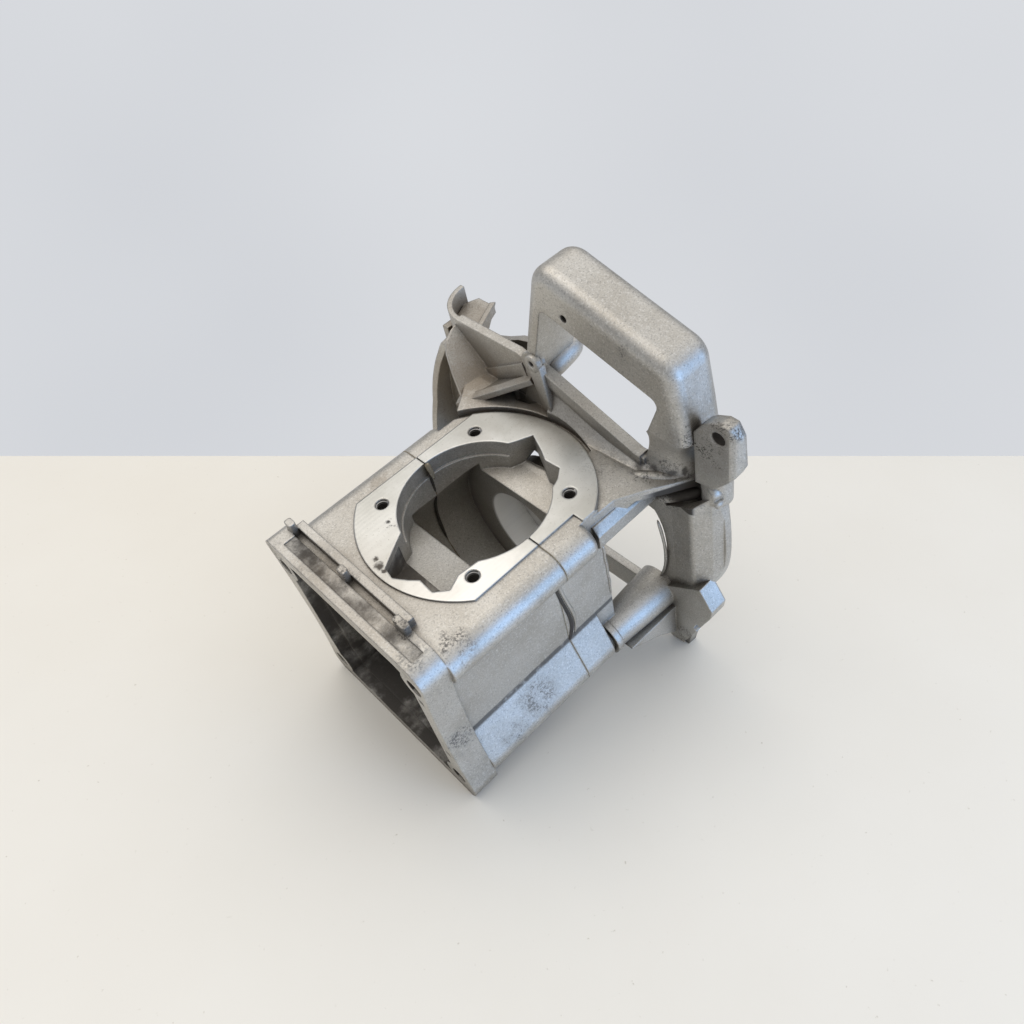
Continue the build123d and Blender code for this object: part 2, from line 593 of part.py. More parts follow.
def rear_half():
    """Rear casting: rear of the drum, deck, fan frame and carrying handle."""
    body = along_x(SPLIT_X, DRUM_REAR, drum_section())
    body += along_x(SPLIT_X, COLLAR_X, side_webs())
    for side in (-1, 1):
        tube = rod(SPLIT_X, TUBE_TOP_END, side * TUBE_Y, TUBE_TOP_Z, TUBE_R)
        end = tube.edges().filter_by(GeomType.CIRCLE).sort_by(Axis.X)[-1]
        body += fillet(end, TUBE_END_R)
        body += strut(side) + lower_leg(side) + foot(side)
    body += apron()
    body += hub(1)
    body += fan_wall()
    body += near_arch()
    body += crown()
    body += far_skin()
    body += far_web()
    body -= sunk_corner()
    body += boss_fin()
    body += slant_rib()
    body += handle()
    body += rear_tongue()
    body += ear()
    groove = along_z(DECK_Z - GROOVE_DEPTH, 10, Circle(DISC_R + GROOVE_W) - Circle(DISC_R))
    body -= groove & box(DRUM_REAR - 5, 70, -20, DISC_R + GROOVE_W, -10, 10)
    body -= along_z(DECK_Z, 10, Circle(DISC_R)) & box(SPLIT_X, 70, -WALL_Y, DISC_R, -10, 10)
    rear_disc = disc() + (Circle(DISC_R) & Pos(DISC_STEP + DISC_R / 2, -WALL_Y / 2) * Rectangle(DISC_R, WALL_Y))
    body += along_z(DECK_Z - GROOVE_DEPTH, 0, rear_disc) & box(SPLIT_X, DISC_R, -DISC_R, DISC_R, -5, 0)
    body -= rod(-1, CHAMBER_REAR, 0, CRANK_Z, CHAMBER_R)
    body -= bearing_seat(1)
    body -= opening_cutter()
    for hole in stud_holes():
        body -= hole
    for y, z in four_tubes():
        body -= rod(-1, THREAD_END, y, z, THREAD_R)
    for y, z in sleeve_places():
        body -= rod(-1, SLEEVE_L / 2, y, z, SLEEVE_R + SLEEVE_CLEAR)
    return body


def strut(side):
    """Upper arm from the drum back to the fan frame."""
    outline = patch((side * 38, -8), (side * 47, -8), (side * 50, -12), (side * 50, -19), (side * 46, -23),
                    (side * 38, -23))
    return along_x(TUBE_TOP_END + 4, WALL_X + 1, outline)


def lower_leg(side):
    """Lower tube behind the narrow groove, growing towards the fan frame."""
    start = COLLAR_X + COLLAR_GAP
    length = WALL_X + 1 - start
    middle = Pos(start + length / 2, side * TUBE_Y, TUBE_BOTTOM_Z)
    leg = middle * Rot(0, 90, 0) * Cone(TUBE_R, LEG_R, length)
    leg += rod(start, start + COLLAR_W, side * TUBE_Y, TUBE_BOTTOM_Z, COLLAR_R)
    core = rod(COLLAR_X - 1, start + 1, side * TUBE_Y, TUBE_BOTTOM_Z, TUBE_R - 2)
    web_y = side * (WALL_Y - BOX_WALL / 2)
    web = box(COLLAR_X - 1, DRUM_REAR, web_y - BOX_WALL / 2, web_y + BOX_WALL / 2, TUBE_BOTTOM_Z, CRANK_Z)
    return leg + core + web


def gasket():
    """Paper gasket between the halves, on the joint faces of drum and tubes."""
    sheet = drum_section() + side_webs()
    for tube in upper_tubes():
        sheet += tube
    sheet -= Pos(0, CRANK_Z) * Circle(CHAMBER_R)
    leaf = along_x(-SPLIT_X, SPLIT_X, sheet)
    leaf -= opening_cutter()
    for y, z in four_tubes():
        leaf -= rod(-1, 1, y, z, SLEEVE_R + SLEEVE_CLEAR if (y, z) in sleeve_places() else BOLT_R)
    return leaf


def sleeve(y, z):
    """Hollow locating sleeve across the joint."""
    tube = rod(-SLEEVE_L / 2, SLEEVE_L / 2, y, z, SLEEVE_R) - rod(-SLEEVE_L, SLEEVE_L, y, z, BOLT_R)
    return tube


def write(name, shape):
    """One file for each piece, named after it."""
    shape.label = name
    export_step(shape, f"parts/{name}.step")


write("front_half", front_half())
write("rear_half", rear_half())
write("crankcase_gasket", gasket())
for place, (y, z) in zip(("near", "far"), sleeve_places()):
    write(f"{place}_locating_sleeve", sleeve(y, z))
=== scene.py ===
from math import pi, radians

import bpy
from mathutils import Euler, Matrix, Vector


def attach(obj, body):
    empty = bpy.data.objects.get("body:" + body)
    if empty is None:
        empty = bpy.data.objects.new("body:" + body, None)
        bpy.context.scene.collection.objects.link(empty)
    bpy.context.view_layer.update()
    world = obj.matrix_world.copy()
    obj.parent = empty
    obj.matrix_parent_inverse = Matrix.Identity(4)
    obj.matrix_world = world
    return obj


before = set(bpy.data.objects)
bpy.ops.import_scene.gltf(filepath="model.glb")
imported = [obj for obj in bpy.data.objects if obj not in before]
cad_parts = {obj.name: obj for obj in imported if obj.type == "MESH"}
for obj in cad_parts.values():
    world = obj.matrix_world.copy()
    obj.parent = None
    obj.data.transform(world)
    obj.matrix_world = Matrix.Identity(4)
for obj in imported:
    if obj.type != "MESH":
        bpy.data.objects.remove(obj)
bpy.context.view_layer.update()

mm = 0.001

# Places on the castings, in millimetres
screw_places = ((-28, -30.85), (-28, 30.85), (28, -30.85), (28, 30.85))
screw_hole_reach = 3.1      # a little more than the radius of a screw hole
crank_depth = 46            # crankshaft line below the machined disc
disc_radius = 53.9
ear_hole = (-81, 33)        # y and z of the cross hole in the ear
ear_hole_radius = 3.4
wall_creases = ((-21, 2.2), (-65.6, 1.4))    # height, and how far the painted shade fades, of the creases on the near wall
near_wall = -46.1


# ---------------------------------------------------------------- node helpers

def put(tree, kind, sockets=None, **settings):
    """Adds one shader node, with its settings and what goes into its sockets."""
    made = tree.nodes.new("ShaderNode" + kind)
    for name, value in settings.items():
        setattr(made, name, value)
    for name, value in (sockets or {}).items():
        if isinstance(value, bpy.types.NodeSocket):
            tree.links.new(value, made.inputs[name])
        else:
            made.inputs[name].default_value = value
    return made


def place(tree):
    """Where a point lies on the piece, in metres."""
    return put(tree, "TexCoord").outputs["Object"]


def noise(tree, where, scale, detail=3.0, rough=0.55):
    return put(tree, "TexNoise", {"Vector": where, "Scale": scale, "Detail": detail, "Roughness": rough})


def fade(tree, value, start, end):
    """0 at start, 1 at end, soft between them."""
    sockets = {"Value": value, "From Min": start, "From Max": end}
    return put(tree, "MapRange", sockets, interpolation_type="SMOOTHSTEP").outputs["Result"]


def sums(tree, kind, first, second):
    """One step of arithmetic on two values."""
    return put(tree, "Math", {0: first, 1: second}, operation=kind).outputs[0]


def over(tree, below, mark, strength):
    """Lays a mark over what is there already, and the stronger of the two shows."""
    return sums(tree, "MAXIMUM", below, sums(tree, "MULTIPLY", mark, strength))


def length(tree, where):
    return put(tree, "VectorMath", {0: where}, operation="LENGTH").outputs["Value"]


def tint(tree, share, first, second):
    """Colour that goes from the first to the second as share goes from 0 to 1."""
    mix = put(tree, "Mix", {0: share, 6: first, 7: second}, data_type="RGBA")
    return mix.outputs[2]


def level(tree, share, first, second):
    """Value that goes from the first to the second as share goes from 0 to 1."""
    return put(tree, "Mix", {0: share, 2: first, 3: second}, data_type="FLOAT").outputs[0]


def spot(tree, where, centre, reach):
    """A soft-edged patch round one place, in millimetres, used for stains, painted shade and a painted
    highlight.
    """
    away = put(tree, "VectorMath", {0: where, 1: [c * mm for c in centre]}, operation="DISTANCE")
    return fade(tree, away.outputs["Value"], reach * mm, reach * 0.35 * mm)


def finish_material(tree, sockets):
    """Ends a finish with its shader."""
    skin = put(tree, "BsdfPrincipled", sockets)
    end = put(tree, "OutputMaterial", {"Surface": skin.outputs[0]})
    end.location = (400, 0)


def new_tree(name):
    """A new material with nothing in it, and its tree."""
    made = bpy.data.materials.new(name)
    made.use_nodes = True
    made.node_tree.nodes.clear()
    return made, made.node_tree


# ---------------------------------------------------------------- finishes

def inside(tree, value, start, end, edge):
    """1 between start and end, in millimetres, with soft edges."""
    return sums(tree, "MULTIPLY", fade(tree, value, (start - edge) * mm, start * mm),
                fade(tree, value, (end + edge) * mm, end * mm))


def box_shade(tree, at, parts):
    """Painted shade, in streaks, in the open box of the front half and in the band sunk into its flange."""
    x, y, z = parts
    room = sums(tree, "MULTIPLY", inside(tree, x, -74.8, -37, 0.2), inside(tree, y, -43.6, 43.6, 0.3))
    room = sums(tree, "MULTIPLY", room, inside(tree, z, -94.6, -3.4, 0.3))
    streaks = noise(tree, at, 55.0, 5.0, 0.6).outputs[0]
    black = sums(tree, "MULTIPLY", room, fade(tree, streaks, 0.72, 0.46))
    band = sums(tree, "MULTIPLY", inside(tree, x, -71.2, -65, 0.3), inside(tree, y, -45, 45, 1.0))
    band = sums(tree, "MULTIPLY", band, fade(tree, z, 1.5 * mm, 2 * mm))
    band = sums(tree, "MULTIPLY", band, fade(tree, z, 2.9 * mm, 2.6 * mm))
    return over(tree, black, band, fade(tree, streaks, 0.66, 0.36))


def rear_shade(tree, at, parts, facing, wander, dirt_and_shade):
    """Painted shade on the ear's front face, in its cross hole and in the pocket under the rise."""
    x, y, z = parts
    face = sums(tree, "MULTIPLY", spot(tree, at, (64, -77, 24), 26), fade(tree, facing[0], -0.75, -0.9))
    face = sums(tree, "MULTIPLY", face, 0.4)
    dirt_and_shade = over(tree, dirt_and_shade, face, fade(tree, wander, 0.15, 0.4))
    hole_y, hole_z = ear_hole
    cross = put(tree, "CombineXYZ", {1: sums(tree, "SUBTRACT", y, hole_y * mm),
                                     2: sums(tree, "SUBTRACT", z, hole_z * mm)}).outputs[0]
    bore = fade(tree, length(tree, cross), (ear_hole_radius + 0.2) * mm, ear_hole_radius * mm)
    bore = sums(tree, "MULTIPLY", bore, fade(tree, x, 64.1 * mm, 64.8 * mm))
    dirt_and_shade = over(tree, dirt_and_shade, bore, 0.97)
    pocket = sums(tree, "MULTIPLY", inside(tree, x, 55, 77, 8), inside(tree, y, -69, -51, 1.5))
    pocket = sums(tree, "MULTIPLY", pocket, inside(tree, z, -17, -6.6, 1.2))
    pocket = sums(tree, "MULTIPLY", pocket, fade(tree, facing[2], 0.5, 0.2))
    return over(tree, dirt_and_shade, pocket, 0.96)


def cast_alloy(name, grime_and_shade, oil, caked_and_shade, shades_box):
    """Blasted light alloy with machined faces, stains, darkening in its corners (painted shade, partly dirt)
    and painted shade in its holes and hollows.
    """
    made, tree = new_tree(name)
    at = place(tree)
    parts = put(tree, "SeparateXYZ", {0: at})
    x, y, z = parts.outputs
    facing = put(tree, "SeparateXYZ", {0: put(tree, "NewGeometry").outputs["Normal"]})

    cloud = noise(tree, at, 38.0, 4.0).outputs[0]
    grain = noise(tree, at, 1500.0, 2.0, 0.7).outputs[0]
    fleck = noise(tree, at, 950.0, 3.0, 0.7).outputs[0]
    wander = noise(tree, at, 160.0, 4.0, 0.65)
    shift = put(tree, "VectorMath", {0: wander.outputs[1], 1: (0.5, 0.5, 0.5)}, operation="SUBTRACT")
    shift = put(tree, "VectorMath", {0: shift.outputs[0], "Scale": 0.022}, operation="SCALE").outputs[0]
    loose = put(tree, "VectorMath", {0: at, 1: shift}, operation="ADD").outputs[0]
    slight = put(tree, "VectorMath", {0: shift, "Scale": 0.3}, operation="SCALE").outputs[0]
    steady = put(tree, "VectorMath", {0: at, 1: slight}, operation="ADD").outputs[0]

    skin = tint(tree, fade(tree, cloud, 0.35, 0.65), (0.46, 0.435, 0.39, 1), (0.55, 0.53, 0.49, 1))
    skin = tint(tree, fade(tree, fleck, 0.45, 0.8), skin, (0.70, 0.685, 0.65, 1))
    skin = tint(tree, fade(tree, grain, 0.52, 0.2), skin, (0.27, 0.26, 0.245, 1))

    # machined disc round the cylinder opening
    flat = put(tree, "CombineXYZ", {0: x, 1: y}).outputs[0]
    disc = sums(tree, "MULTIPLY", fade(tree, z, -0.35 * mm, -0.1 * mm),
                fade(tree, length(tree, flat), (disc_radius + 0.4) * mm, disc_radius * mm))
    disc = sums(tree, "MULTIPLY", disc, fade(tree, facing.outputs[2], 0.7, 0.9))

    # turned seats along the crankshaft
    across = put(tree, "CombineXYZ", {1: y, 2: sums(tree, "ADD", z, crank_depth * mm)}).outputs[0]
    round_crank = length(tree, across)
    seats = sums(tree, "MULTIPLY", fade(tree, round_crank, 24.6 * mm, 24.2 * mm),
                 fade(tree, round_crank, 13.5 * mm, 14.5 * mm))
    bright = sums(tree, "MAXIMUM", disc, seats)

    rings = put(tree, "TexWave", {"Vector": across, "Scale": 260.0, "Distortion": 0.6, "Detail": 2.0},
                wave_type="RINGS", rings_direction="X").outputs[1]
    milled = tint(tree, fade(tree, cloud, 0.3, 0.7), (0.50, 0.495, 0.46, 1), (0.64, 0.635, 0.605, 1))
    milled = tint(tree, fade(tree, fleck, 0.60, 0.72), milled, (0.36, 0.35, 0.31, 1))
    # lathe rings on the turned seats; their light bands are partly painted highlight, for the glints of the
    # turned metal
    turned = tint(tree, rings, (0.50, 0.49, 0.47, 1), (0.92, 0.91, 0.88, 1))
    milled = tint(tree, seats, milled, turned)
    # painted highlight: a lighter patch on the near front of the milled disc, standing in for a reflection
    milled = tint(tree, spot(tree, loose, (-34, -34, 0), 40), milled, (0.70, 0.69, 0.66, 1))
    colour = tint(tree, bright, skin, milled)
    deep = put(tree, "AmbientOcclusion", {"Distance": 32 * mm}, samples=6).outputs["AO"]
    shade = sums(tree, "MULTIPLY", fade(tree, deep, 0.85, 0.1), level(tree, seats, 1.0, 0.0))
    colour = tint(tree, shade, colour, (0.15, 0.13, 0.105, 1))

    # darkening in the corners from ambient occlusion (painted shade, partly dirt), then stains and patches
    # of painted shade in known places
    corner = put(tree, "AmbientOcclusion", {"Distance": 9 * mm}, samples=6).outputs["AO"]
    dirt_and_shade = sums(tree, "MULTIPLY", fade(tree, corner, 0.66, 0.15), fade(tree, wander.outputs[0], 0.25, 0.6))
    patchy = sums(tree, "MULTIPLY", fade(tree, fleck, 0.42, 0.6), fade(tree, wander.outputs[0], 0.34, 0.55))
    for centre, reach, strength in grime_and_shade:
        mark = sums(tree, "MULTIPLY", spot(tree, loose, centre, reach), strength)
        dirt_and_shade = over(tree, dirt_and_shade, mark, patchy)
    for centre, reach, strength in caked_and_shade:
        dirt_and_shade = over(tree, dirt_and_shade, spot(tree, steady, centre, reach), strength)
    # painted shade along the creases where the tubes meet the near wall
    for top, reach in wall_creases:
        crease = sums(tree, "MULTIPLY", inside(tree, y, -47.6, -45, 0.5),
                      inside(tree, z, top - 0.4, top + 1, reach))
        crease = sums(tree, "MULTIPLY", crease, fade(tree, wander.outputs[0], 0.25, 0.5))
        dirt_and_shade = over(tree, dirt_and_shade, crease, 0.75)
    if not shades_box:
        dirt_and_shade = rear_shade(tree, at, parts.outputs, facing.outputs, wander.outputs[0], dirt_and_shade)
    # painted shade inside the screw holes, below the deck
    for centre_x, centre_y in screw_places:
        reach = screw_hole_reach
        hole = sums(tree, "MULTIPLY", inside(tree, x, centre_x - reach, centre_x + reach, 0.05),
                    inside(tree, y, centre_y - reach, centre_y + reach, 0.05))
        hole = sums(tree, "MULTIPLY", hole, fade(tree, z, -0.3 * mm, -1.2 * mm))
        dirt_and_shade = over(tree, dirt_and_shade, hole, 0.97)
    # painted shade in the open box of the front half and in its flange band
    if shades_box:
        dirt_and_shade = over(tree, dirt_and_shade, box_shade(tree, at, parts.outputs), 0.93)
    # dirt and painted shade both darken the colour towards this near-black
    colour = tint(tree, dirt_and_shade, colour, (0.05, 0.043, 0.036, 1))
    brown = 0.0
    for centre, reach, strength in oil:
        mark = sums(tree, "MULTIPLY", spot(tree, loose, centre, reach), strength)
        brown = mark if brown == 0.0 else sums(tree, "MAXIMUM", brown, mark)
    colour = tint(tree, brown, colour, (0.24, 0.185, 0.125, 1))

    rough = level(tree, fleck, 0.36, 0.62)
    rough = level(tree, bright, rough, level(tree, cloud, 0.3, 0.46))
    rough = level(tree, dirt_and_shade, rough, 0.8)
    metal = level(tree, sums(tree, "MAXIMUM", sums(tree, "MAXIMUM", dirt_and_shade, brown), seats), 0.9, 0.35)

    soft = sums(tree, "MULTIPLY", fade(tree, y, -68 * mm, -72 * mm), fade(tree, z, -14 * mm, -10 * mm))
    soft = sums(tree, "MULTIPLY", soft, fade(tree, x, 60 * mm, 62 * mm))
    rounded = put(tree, "Bevel", {"Radius": level(tree, soft, 1.1 * mm, 3.4 * mm)}, samples=8).outputs[0]
    lumps = noise(tree, at, 210.0, 3.0).outputs[0]
    hills = level(tree, 0.35, lumps, grain)
    hills = level(tree, bright, hills, level(tree, 0.06, 0.5, rings))
    normal = put(tree, "Bump", {"Strength": 0.55, "Distance": 0.35 * mm, "Height": hills, "Normal": rounded})
    finish_material(tree, {"Base Color": colour, "Metallic": metal, "Roughness": rough,
                           "Normal": normal.outputs[0]})
    return made


def paper(name):
    """Gasket paper, oil-soaked and brown at its edge."""
    made, tree = new_tree(name)
    at = place(tree)
    weave = noise(tree, at, 900.0, 3.0).outputs[0]
    cloud = noise(tree, at, 70.0, 3.0).outputs[0]
    colour = tint(tree, cloud, (0.10, 0.075, 0.045, 1), (0.26, 0.22, 0.15, 1))
    colour = tint(tree, fade(tree, weave, 0.5, 0.7), colour, (0.34, 0.30, 0.22, 1))
    normal = put(tree, "Bump", {"Strength": 0.4, "Distance": 0.1 * mm, "Height": weave})
    finish_material(tree, {"Base Color": colour, "Roughness": 0.75, "Normal": normal.outputs[0]})
    return made


def steel(name, sunk=False):
    """Turned steel of the sleeves; sunk is for worn thread, with painted shade that darkens it down its
    hole.
    """
    made, tree = new_tree(name)
    at = place(tree)
    cloud = noise(tree, at, 300.0, 3.0).outputs[0]
    lines = put(tree, "TexWave", {"Vector": at, "Scale": 900.0, "Distortion": 1.5}, bands_direction="X")
    colour = tint(tree, cloud, (0.30, 0.29, 0.28, 1), (0.55, 0.54, 0.52, 1))
    if sunk:
        depth = put(tree, "SeparateXYZ", {0: at}).outputs[2]
        # painted shade: darker down the hole
        colour = tint(tree, fade(tree, depth, -0.5 * mm, -2.8 * mm), colour, (0.02, 0.018, 0.016, 1))
    normal = put(tree, "Bump", {"Strength": 0.2, "Distance": 0.05 * mm, "Height": lines.outputs[1]})
    finish_material(tree, {"Base Color": colour, "Metallic": 1.0, "Roughness": 0.3,
                           "Normal": normal.outputs[0]})
    return made


def dark_gap_fill(name):
    """Near-black fill for a gap: painted shade in the open joint, partly oily dirt."""
    made, tree = new_tree(name)
    at = place(tree)
    crumbs = noise(tree, at, 700.0, 3.0).outputs[0]
    colour = tint(tree, crumbs, (0.012, 0.010, 0.009, 1), (0.07, 0.055, 0.04, 1))
    normal = put(tree, "Bump", {"Strength": 0.6, "Distance": 0.2 * mm, "Height": crumbs})
    finish_material(tree, {"Base Color": colour, "Roughness": 0.7, "Normal": normal.outputs[0]})
    return made


# Stains and patches of painted shade: (place in millimetres), reach in millimetres, strength
front_grime = (
    ((-63, -30, 6), 9, 0.9), ((-63, 7, 6), 8, 0.7), ((-67, 24, 3), 12, 0.45), ((-68, -43, 1), 10, 0.5),
    ((-52, -50, -2), 9, 0.75), ((-68, -51, -56), 11, 0.75), ((-26, -51, -77), 13, 0.6),
    ((-45, -52, -84), 10, 0.5), ((-36, 2, 0), 3.5, 0.8), ((-34, 19, 0), 2.5, 0.9), ((-74, 50, -10), 16, 0.6))
# the patches round (64, -74, 24), (72, -62, -14) and (63, -54, -14) are painted shade on the ear's front
# face and in the pocket under the rise
rear_grime_and_shade = (
    ((66, -83, 40), 8, 0.9), ((64, -74, 24), 13, 0.95), ((64, -56, 0), 8, 0.8), ((58, -47, -3), 9, 0.8),
    ((72, -62, -14), 16, 1.0), ((63, -54, -14), 12, 1.0), ((70, -70, 4), 6, 0.9), ((52, -30, 0), 14, 0.4),
    ((59, -39.5, 58), 5, 0.75), ((58, -63, -114), 12, 0.7), ((24, -46, -9), 6, 0.6),
    ((74, -78, 6), 8, 0.6), ((78, 84, 16), 9, 0.45))
front_oil = (((-45, -20, -2), 22, 0.14), ((-68, 0, 2), 40, 0.2), ((-20, 44, 0), 8, 0.3))
rear_oil = (
    ((49, 57, 3), 18, 0.55), ((55, 62, 8), 22, 0.4), ((72, 80, 14), 22, 0.35), ((45, 44, 0), 14, 0.35),
    ((30, 30, 0), 16, 0.12), ((58, 20, 8), 20, 0.3), ((60, 76, -30), 45, 0.45), ((59, -5, 10), 26, 0.2))
front_caked = (
    ((-49, 8, 0), 2, 0.9), ((-50, 4, 0), 2.5, 0.9), ((-50, 0.5, 0), 2, 0.9), ((-33, 21, 0), 1.4, 0.9),
    ((-30.5, 21, 0), 1, 0.9), ((-63, -33, 5), 4, 0.6))
# the patches round (72, -62, -15), (66, -58, -14) and (62, -52, -13) are painted shade in the pocket under
# the rise, and the one round (55, 31, -6) is painted shade under the slanting shelf; the four at the foot of
# the leg darken that crease
rear_caked_and_shade = (
    ((61.5, -48.5, -2.4), 3.5, 0.8), ((64, -55.5, -3.4), 3, 0.75), ((68, -59.6, -2.6), 3, 0.8),
    ((59.5, -43, -2.4), 3, 0.7), ((72, -62, -15), 13, 0.97), ((66, -58, -14), 9, 0.95),
    ((62, -52, -13), 7, 0.9), ((22.5, -49, -9), 4, 0.8), ((55, 31, -6), 11, 0.85))

finishes = {
    "front_half": cast_alloy("front_cast_alloy", front_grime, front_oil, front_caked, True),
    "rear_half": cast_alloy("rear_cast_alloy", rear_grime_and_shade, rear_oil, rear_caked_and_shade, False),
    "crankcase_gasket": paper("gasket_paper"),
    "near_locating_sleeve": steel("sleeve_steel"),
    "far_locating_sleeve": steel("far_sleeve_steel"),
}
for name, finish in finishes.items():
    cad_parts[name].data.materials.clear()
    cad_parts[name].data.materials.append(finish)
cast_edge = cast_alloy("cast_flash", (), (), (), False)
gap_shade_and_dirt = dark_gap_fill("gap_shade_and_dirt")
thread_metal = steel("thread_crest", sunk=True)


# ---------------------------------------------------------------- modelling

def clear_selection():
    if bpy.context.object and bpy.context.object.mode == "EDIT":
        bpy.ops.object.mode_set(mode="OBJECT")
    bpy.ops.object.select_all(action="DESELECT")


def settle(piece, name, finish, smooth=35):
    """Puts a piece's place into its mesh, names it and gives it its finish."""
    if bpy.context.object.mode == "EDIT":
        bpy.ops.object.mode_set(mode="OBJECT")
    clear_selection()
    piece.select_set(True)
    bpy.context.view_layer.objects.active = piece
    bpy.ops.object.transform_apply(location=True, rotation=True, scale=True)
    for modifier in list(piece.modifiers):
        bpy.ops.object.modifier_apply(modifier=modifier.name)
    bpy.ops.object.mode_set(mode="EDIT")
    bpy.ops.mesh.select_all(action="SELECT")
    bpy.ops.mesh.remove_doubles(threshold=0.00001)
    bpy.ops.mesh.normals_make_consistent(inside=False)
    bpy.ops.object.mode_set(mode="OBJECT")
    bpy.ops.object.shade_smooth_by_angle(angle=radians(smooth))
    piece.name = name
    piece.data.name = name
    piece.data.materials.clear()
    piece.data.materials.append(finish)
    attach(piece, "root")
    return piece


def strip(name, line, widths, finish, flatten=None, fine=1):
    """A bead that follows a line, in millimetres; flatten presses it on a wall, as (share, y)."""
    clear_selection()
    way = (Vector(line[1]) - Vector(line[0])).normalized()
    turn = way.to_track_quat("Z", "Y").to_euler()
    bpy.ops.mesh.primitive_circle_add(vertices=8, radius=widths[0] * mm, fill_type="NGON",
                                      location=[v * mm for v in line[0]], rotation=turn)
    piece = bpy.context.object
    bpy.ops.object.transform_apply(location=True, rotation=True, scale=True)
    bpy.ops.object.mode_set(mode="EDIT")
    bpy.ops.mesh.select_all(action="SELECT")
    for start, end, was, now in zip(line, line[1:], widths, widths[1:]):
        move = [(b - a) * mm for a, b in zip(start, end)]
        bpy.ops.mesh.extrude_region_move(TRANSFORM_OT_translate={"value": move})
        grow = now / was
        bpy.ops.transform.resize(value=(grow, grow, grow), center_override=[v * mm for v in end])
    if flatten:
        bpy.ops.mesh.select_all(action="SELECT")
        bpy.ops.transform.resize(value=(1, flatten[0], 1), center_override=(0, flatten[1] * mm, 0))
    bpy.ops.object.mode_set(mode="OBJECT")
    soften = piece.modifiers.new("soften", "SUBSURF")
    soften.levels = soften.render_levels = fine
    return settle(piece, name, finish, 60)


def plate(name, corners, push, edge_width):
    """A thin plate: its first face from four corners, pushed out to its thickness, with rounded edges."""
    clear_selection()
    bpy.ops.mesh.primitive_plane_add(size=1)
    piece = bpy.context.object
    for number, corner in zip((0, 1, 3, 2), corners):
        piece.data.vertices[number].co = [v * mm for v in corner]
    bpy.ops.object.mode_set(mode="EDIT")
    bpy.ops.mesh.select_all(action="SELECT")
    bpy.ops.mesh.extrude_region_move(TRANSFORM_OT_translate={"value": [v * mm for v in push]})
    bpy.ops.object.mode_set(mode="OBJECT")
    edge = piece.modifiers.new("edge", "BEVEL")
    edge.width = edge_width * mm
    edge.segments = 3
    return settle(piece, name, finishes["rear_half"], 40)


def drilled_boss(name, centre, radius, depth):
    """A short round boss that faces forwards, with a blind hole in its front."""
    clear_selection()
    bpy.ops.mesh.primitive_cylinder_add(vertices=40, radius=radius * mm, depth=depth * mm,
                                        location=[v * mm for v in centre], rotation=(0, pi / 2, 0))
    piece = bpy.context.object
    bpy.ops.object.transform_apply(location=True, rotation=True, scale=True)
    bpy.ops.object.mode_set(mode="EDIT")
    bpy.ops.mesh.select_all(action="DESELECT")
    bpy.ops.object.mode_set(mode="OBJECT")
    for face in piece.data.polygons:
        face.select = face.normal.x < -0.9
    bpy.ops.object.mode_set(mode="EDIT")
    bpy.ops.mesh.inset(thickness=2.8 * mm)
    bpy.ops.mesh.extrude_region_move(TRANSFORM_OT_translate={"value": (2.6 * mm, 0, 0)})
    bpy.ops.object.mode_set(mode="OBJECT")
    edge = piece.modifiers.new("edge", "BEVEL")
    edge.width = 0.5 * mm
    edge.segments = 3
    edge.limit_method = "ANGLE"
    return settle(piece, name, finishes["rear_half"], 40)


def thread(name, x, y):
    """Crest of the M6 thread inside a cylinder screw hole."""
    clear_selection()
    bpy.ops.mesh.primitive_circle_add(vertices=3, radius=0.42 * mm, fill_type="NOTHING",
                                      location=(3.02 * mm, 0, -12.6 * mm), rotation=(pi / 2, -pi / 2, 0))
    piece = bpy.context.object
    bpy.ops.object.transform_apply(location=True, rotation=True, scale=True)
    wind = piece.modifiers.new("wind", "SCREW")
    wind.screw_offset = 1.0 * mm
    wind.iterations = 12
    wind.steps = wind.render_steps = 28
    wind.use_merge_vertices = False
    bpy.ops.object.modifier_apply(modifier="wind")
    piece.location = (x * mm, y * mm, 0)
    bpy.ops.object.transform_apply(location=True, rotation=True, scale=True)
    bpy.ops.object.mode_set(mode="EDIT")
    bpy.ops.mesh.select_all(action="DESELECT")
    bpy.ops.mesh.select_non_manifold()
    bpy.ops.mesh.edge_face_add()
    bpy.ops.object.mode_set(mode="OBJECT")
    return settle(piece, name, thread_metal, 50)


for number, (x, y) in enumerate(screw_places, 1):
    thread(f"screw_thread_{number}", x, y)

# near-black strip in the open joint on the near side: painted shade, partly dirt
strip("joint_crack",
      ((0, -50.6, -17), (-1.2, -46.1, -22), (-0.6, -46.1, -28), (0.9, -46.1, -38), (2.6, -46.1, -47),
       (3.5, -46.1, -54), (3.1, -46.1, -60), (0.8, -46.1, -64.5), (0, -47.2, -67)),
      (0.5, 0.8, 0.9, 1.0, 1.1, 1.2, 1.5, 1.3, 0.4), gap_shade_and_dirt, flatten=(0.3, near_wall))
strip("joint_flash",
      ((1.2, -50.2, -17), (0.7, -46.2, -22), (1.5, -46.2, -29), (3.0, -46.2, -38), (4.7, -46.2, -46),
       (5.7, -46.2, -53), (5.6, -46.2, -60), (3.6, -46.2, -65.5)),
      (0.5, 0.8, 1.1, 0.9, 1.2, 1.0, 0.9, 0.4), cast_edge, flatten=(0.65, near_wall))
strip("drum_flash",
      ((28.2, -45.9, -24), (29.1, -45.9, -29), (28.3, -45.9, -35), (29.4, -45.9, -39),
       (28.5, -45.9, -46), (29.5, -45.9, -51), (28.6, -45.9, -56), (28.9, -45.9, -62)),
      (0.7, 0.95, 0.75, 1.0, 0.7, 0.9, 0.75, 0.6), cast_edge)
